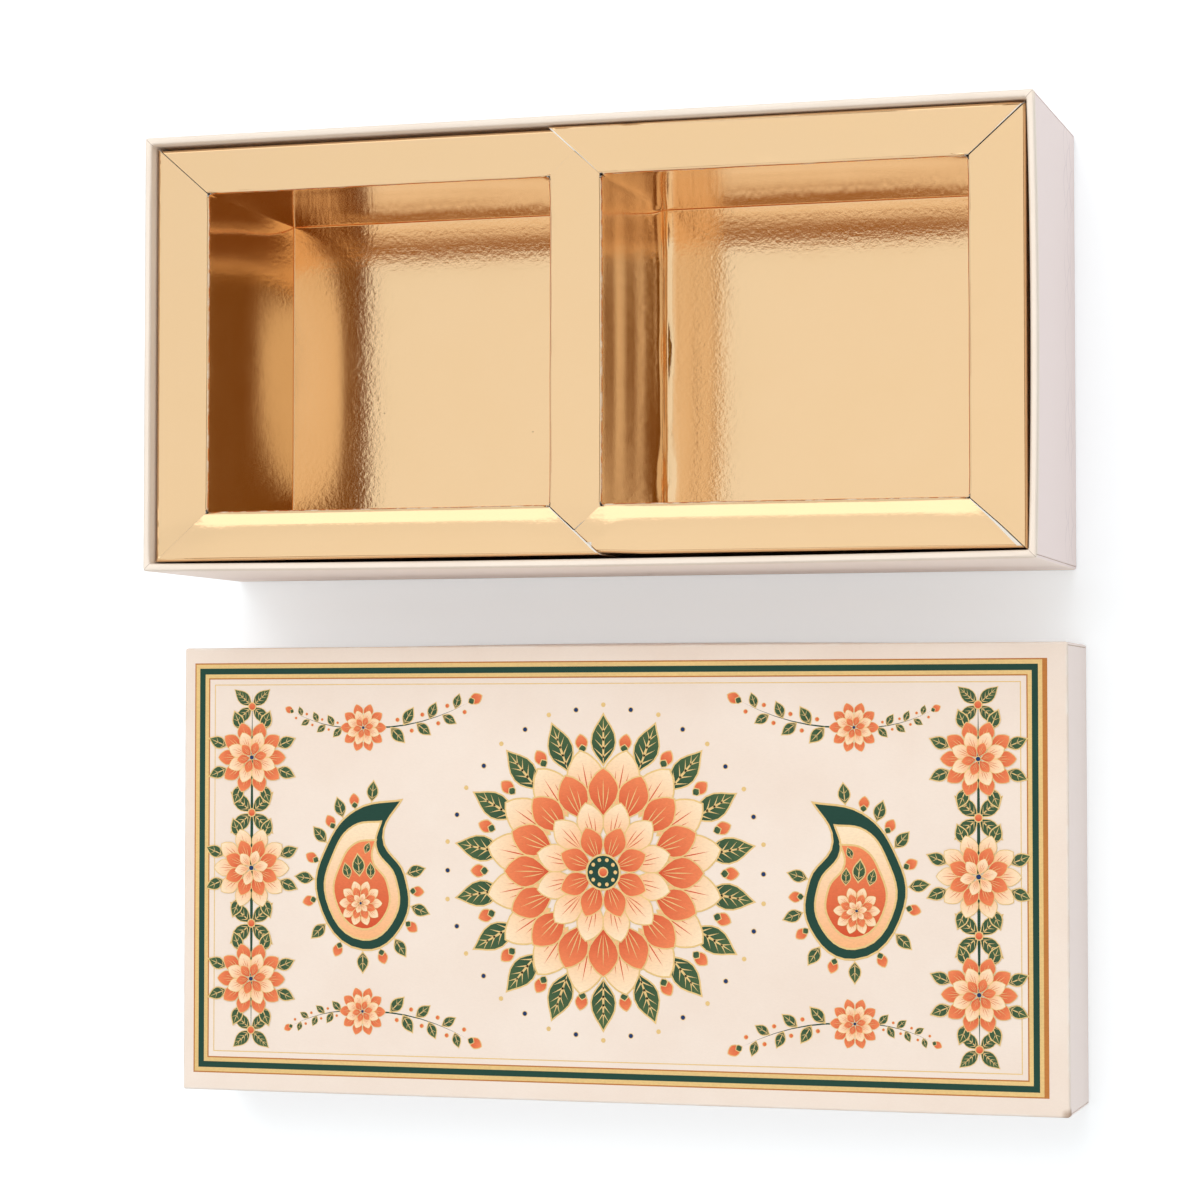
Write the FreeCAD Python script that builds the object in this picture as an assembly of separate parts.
"""Rigid paper-covered sweet box: a base, a two-well foil-card insert and a lift-off lid, in millimetres."""
import FreeCAD
import Part
import math
import os
from FreeCAD import Vector

# Overall sizes
base_length = 206.0
base_width = 100.0
base_height = 57.0
lid_height = 28.0

# Sheets that the box is made of
board = 1.2
paper = 0.2
tape = 0.1
foil_card = 0.4

# Board edges, corner seams and the paper that covers them
board_corner_radius = 0.35
board_edge_ease = 0.3
inside_corner_radius = 0.5
corner_seam = 0.2
paper_seam = 0.15
stay_leg = 14.0
base_turn_in = 45.0
lid_turn_in = 18.0
liner_margin = 1.0

# Fits
lid_clearance = 0.4
insert_clearance = 0.5
lap_clearance = 0.1

# Foil-card insert
side_flange = 12.7
front_flange = 11.2
divider_width = 12.2
rim_drop = 2.5
crease_radius = 0.3
corner_slit = 0.45
mitre_gap = 0.2
floor_joint = 4.0

# The lid lies in front of the base, on the same surface
lid_distance = 17.0

# A cutting tool reaches this far past what it cuts
overshoot = 5.0

# A sheet laid round an eased edge has a wider ease, by this share of its thickness
ease_growth = 2 - math.sqrt(2)

# Thicknesses built up from the sheets
shell = paper + tape + board
wall = shell + paper
floor_top = shell + paper
clear_length = base_length - 2 * wall
clear_width = base_width - 2 * wall
lid_length = base_length + 2 * (lid_clearance + wall)
lid_width = base_width + 2 * (lid_clearance + wall)
lid_centre = Vector(0, -(base_width / 2 + lid_distance + lid_width / 2), 0)

# Half sizes of the insert, its wells and its divider
insert_x = clear_length / 2 - insert_clearance
insert_y = clear_width / 2 - insert_clearance
well_x = insert_x - side_flange
well_y = insert_y - front_flange
divider_x = divider_width / 2
divider_tip_y = well_y + front_flange / 2
flange_top = base_height - rim_drop
lap = foil_card + lap_clearance


def block(length, width, low, high):
    """A box centred on the Z axis."""
    return Part.makeBox(length, width, high - low, Vector(-length / 2, -width / 2, low))


def upright_edges(shape):
    return [edge for edge in shape.Edges if edge.BoundBox.ZLength > overshoot]


def level_edges(shape, height):
    boxes = [(edge, edge.BoundBox) for edge in shape.Edges]
    return [edge for edge, box in boxes if abs(box.ZMin - height) + abs(box.ZMax - height) < 1e-6]


def soft_tray(length, width, low, high, thickness, corner_radius, ease, inside_radius):
    """An open tray with rounded upright corners, and eased edges at its foot and its rim."""
    body = block(length, width, low, high)
    body = body.makeFillet(corner_radius, upright_edges(body))
    hollow = block(length - 2 * thickness, width - 2 * thickness, shell, high + overshoot)
    hollow = hollow.makeFillet(inside_radius, upright_edges(hollow))
    body = body.cut(hollow)
    return body.makeChamfer(ease, level_edges(body, low) + level_edges(body, high))


def cover_paper(length, width, height, turn_in):
    """Paper round the outside of a tray, over its rim and down inside it, cut at the upright corners."""
    corner_radius = board_corner_radius + tape + paper
    outside_ease = board_edge_ease + ease_growth * (tape + paper)
    inside_ease = board_edge_ease + ease_growth * tape
    outside = soft_tray(length, width, 0, height, wall, corner_radius, outside_ease, inside_corner_radius)
    inside = soft_tray(length - 2 * paper, width - 2 * paper, paper, height - paper, shell - paper,
                       board_corner_radius + tape, inside_ease, inside_corner_radius + paper)
    bare = block(length - 2 * shell, width - 2 * shell, shell, height - turn_in)
    paper_shell = outside.cut(inside).cut(bare)
    for end in (-1, 1):
        for side in (-1, 1):
            slit = block(2 * paper, paper_seam, outside_ease, height - outside_ease)
            edge_y = width / 2 - corner_radius - paper_seam / 2
            slit.translate(Vector(end * length / 2, side * edge_y, 0))
            paper_shell = paper_shell.cut(slit)
    return paper_shell


def board_tray(length, width, height):
    """Greyboard under the cover paper: long walls run through, short walls butt between them."""
    skin = paper + tape
    tray = soft_tray(length - 2 * skin, width - 2 * skin, skin, height - skin, board,
                     board_corner_radius, board_edge_ease, inside_corner_radius + paper)
    slot = Part.makeBox(board + overshoot, corner_seam, height)
    for side in (-1, 1):
        for end in (-1, 1):
            x = length / 2 - skin - board if end > 0 else -length / 2 + skin - overshoot
            y = side * (width / 2 - shell) - corner_seam / 2
            seam = slot.copy()
            seam.translate(Vector(x, y, shell))
            tray = tray.cut(seam)
    return tray


def corner_stays(length, width, height):
    """Paper tape folded round the outside of each corner of the board, named by its corner."""
    low = paper + tape + board_edge_ease
    high = height - low
    outside = block(length - 2 * paper, width - 2 * paper, low, high)
    outside = outside.makeFillet(board_corner_radius + tape, upright_edges(outside))
    inside = block(length - 2 * paper - 2 * tape, width - 2 * paper - 2 * tape, low, high)
    inside = inside.makeFillet(board_corner_radius, upright_edges(inside))
    sleeve = outside.cut(inside)
    stays = {}
    for depth, side in (("front", -1), ("back", 1)):
        for hand, end in (("left", -1), ("right", 1)):
            corner = block(2 * stay_leg, 2 * stay_leg, low, high)
            corner.translate(Vector(end * (length / 2 - paper), side * (width / 2 - paper), 0))
            stays[f"{depth}_{hand}"] = sleeve.common(corner)
    return stays


def liner(length, width):
    """Paper sheet glued flat on a tray's floor, short of the turned-in paper."""
    margin = wall + liner_margin
    return block(length - 2 * margin, width - 2 * margin, shell, floor_top)


def covered_tray(prefix, length, width, height, turn_in, liner_name):
    """All the layers of one half of the box, open side up, by node name."""
    pieces = {f"{prefix}_board": board_tray(length, width, height)}
    for corner, stay in corner_stays(length, width, height).items():
        pieces[f"{prefix}_stay_{corner}"] = stay
    pieces[f"{prefix}_wrap"] = cover_paper(length, width, height, turn_in)
    pieces[liner_name] = liner(length, width)
    return pieces


def fold_side(route, offset):
    """One face of folded card: straight runs and crease arcs, offset to the left of the route."""
    bend = crease_radius + foil_card / 2
    edges = []
    directions = [(b - a).normalize() for a, b in zip(route, route[1:])]
    lefts = [Vector(-way.y, way.x, 0) for way in directions]
    start = route[0] + lefts[0] * offset
    for corner, way_in, way_out, left_in, left_out in zip(route[1:], directions, directions[1:], lefts, lefts[1:]):
        turn = 1 if way_in.cross(way_out).z > 0 else -1
        reach = bend * math.tan(way_in.getAngle(way_out) / 2)
        centre = corner - way_in * reach + left_in * (turn * bend)
        outward = (corner - centre).normalize()
        arc_start = corner - way_in * reach + left_in * offset
        arc_middle = centre + outward * (bend - turn * offset)
        arc_end = corner + way_out * reach + left_out * offset
        edges.append(Part.makeLine(start, arc_start))
        edges.append(Part.Arc(arc_start, arc_middle, arc_end).toShape())
        start = arc_end
    edges.append(Part.makeLine(start, route[-1] + lefts[-1] * offset))
    return edges


def folded_card(points, low, high):
    """Card that follows points (across, up) on its middle plane, extruded from low to high along X."""
    route = [Vector(across, up, 0) for across, up in points]
    near = fold_side(route, -foil_card / 2)
    far = fold_side(route, foil_card / 2)
    first_end = Part.makeLine(far[0].Vertexes[0].Point, near[0].Vertexes[0].Point)
    last_end = Part.makeLine(near[-1].Vertexes[-1].Point, far[-1].Vertexes[-1].Point)
    outline = Part.Wire(Part.__sortEdges__([first_end] + near + [last_end] + far))
    card = Part.Face(outline).extrude(Vector(0, 0, high - low))
    card.Placement = FreeCAD.Placement(FreeCAD.Matrix(0, 0, 1, low, 1, 0, 0, 0, 0, 1, 0, 0, 0, 0, 0, 1))
    return card


def plan_prism(corners):
    """Upright prism over a plan outline, taller than the insert."""
    points = [Vector(x, y, -overshoot) for x, y in corners]
    return Part.Face(Part.makePolygon(points + points[:1])).extrude(Vector(0, 0, base_height + 2 * overshoot))


def mirrored(corners):
    """A plan outline's front half, followed by its mirror image at the back."""
    return corners + [(x, -y) for x, y in reversed(corners)]


def lengthwise_card():
    """The run of the blank along X: leg, flange, well, divider, well, flange and leg."""
    half = foil_card / 2
    top = flange_top - half
    floor = floor_top + half
    right = [(divider_x - half, top), (divider_x - half, floor), (well_x + half, floor),
             (well_x + half, top), (insert_x - half, top), (insert_x - half, floor_top)]
    left = [(-x, z) for x, z in reversed(right)]
    card = folded_card(left + right, -insert_y, insert_y)
    card.rotate(Vector(0, 0, 0), Vector(0, 0, 1), -90)

    side_slope = front_flange / side_flange
    wall_y = well_y - corner_slit
    crease = foil_card
    front = [(-insert_x, -insert_y), (-well_x - crease, -well_y - crease * side_slope),
             (-well_x - crease, -wall_y), (-divider_x + crease, -wall_y),
             (-divider_x + crease, -well_y - crease * front_flange / divider_width), (0, -divider_tip_y),
             (divider_x - crease, -well_y - crease * front_flange / divider_width),
             (divider_x - crease, -wall_y), (well_x + crease, -wall_y),
             (well_x + crease, -well_y - crease * side_slope), (insert_x, -insert_y)]
    return card.common(plan_prism(mirrored(front)))


def crosswise_card(over):
    """The front wall, flange and leg of the left well; over says if its flange laps its neighbour's."""
    half = foil_card / 2
    rise = lap if over else 0
    edge = insert_y if over else insert_y - lap
    top = flange_top + rise - half
    floor = floor_top + half
    points = [(-well_y + floor_joint, floor), (-well_y - half, floor), (-well_y - half, top),
              (-edge + half, top), (-edge + half, floor_top)]
    card = folded_card(points, -insert_x, divider_x)

    spread = (edge - well_y) / front_flange
    crease = foil_card / front_flange
    wall_end = -well_y - foil_card
    outline = [(-well_x + corner_slit, -well_y + floor_joint), (-well_x + corner_slit, wall_end),
               (-well_x - side_flange * crease, wall_end), (-well_x - side_flange * spread, -edge),
               (-divider_x + divider_width * spread, -edge), (-divider_x + divider_width * crease, wall_end),
               (-divider_x - corner_slit, wall_end), (-divider_x - corner_slit, -well_y + floor_joint)]
    return card.common(plan_prism(outline))


def mitre_slot(inner, outer):
    """Thin upright plate along a mitre line, to part two flanges."""
    along = Vector(outer[0] - inner[0], outer[1] - inner[1], 0)
    across = Vector(-along.y, along.x, 0).normalize() * (mitre_gap / 2)
    start = Vector(inner[0], inner[1], 0)
    end = start + along
    return plan_prism([(p.x, p.y) for p in (start + across, end + across, end - across, start - across)])


def foil_insert():
    """One folded blank with two wells; each long flange laps its neighbour's at one end of the divider."""
    over = crosswise_card(True)
    under = crosswise_card(False)
    across = Vector(1, 0, 0)
    deep = Vector(0, 1, 0)
    origin = Vector(0, 0, 0)
    panels = [over, under.mirror(origin, across), under.mirror(origin, deep)]
    panels.append(over.mirror(origin, across).mirror(origin, deep))
    insert = lengthwise_card().multiFuse(panels).removeSplitter()
    for end in (-1, 1):
        for side in (-1, 1):
            reach = 1 + overshoot / side_flange
            corner = (end * (well_x + reach * side_flange), side * (well_y + reach * front_flange))
            insert = insert.cut(mitre_slot((end * well_x, side * well_y), corner))
            insert = insert.cut(mitre_slot((end * divider_x, side * well_y), (0, side * divider_tip_y)))
    return insert


pieces = covered_tray("base", base_length, base_width, base_height, base_turn_in, "base_floor_liner")
pieces["foil_insert"] = foil_insert()
lid_pieces = covered_tray("lid", lid_length, lid_width, lid_height, lid_turn_in, "lid_ceiling_liner")
for name, shape in lid_pieces.items():
    upturned = shape.mirror(Vector(0, 0, lid_height / 2), Vector(0, 0, 1))
    upturned.translate(lid_centre)
    pieces[name] = upturned

os.makedirs("parts", exist_ok=True)
for name, shape in pieces.items():
    shape.exportStep(f"parts/{name}.step")
    box = shape.BoundBox
    sizes = f"{box.XLength:.2f} x {box.YLength:.2f} x {box.ZLength:.2f}"
    print(f"{name}: {len(shape.Solids)} solid, {sizes} mm, {shape.Volume:.0f} mm3, valid {shape.isValid()}")
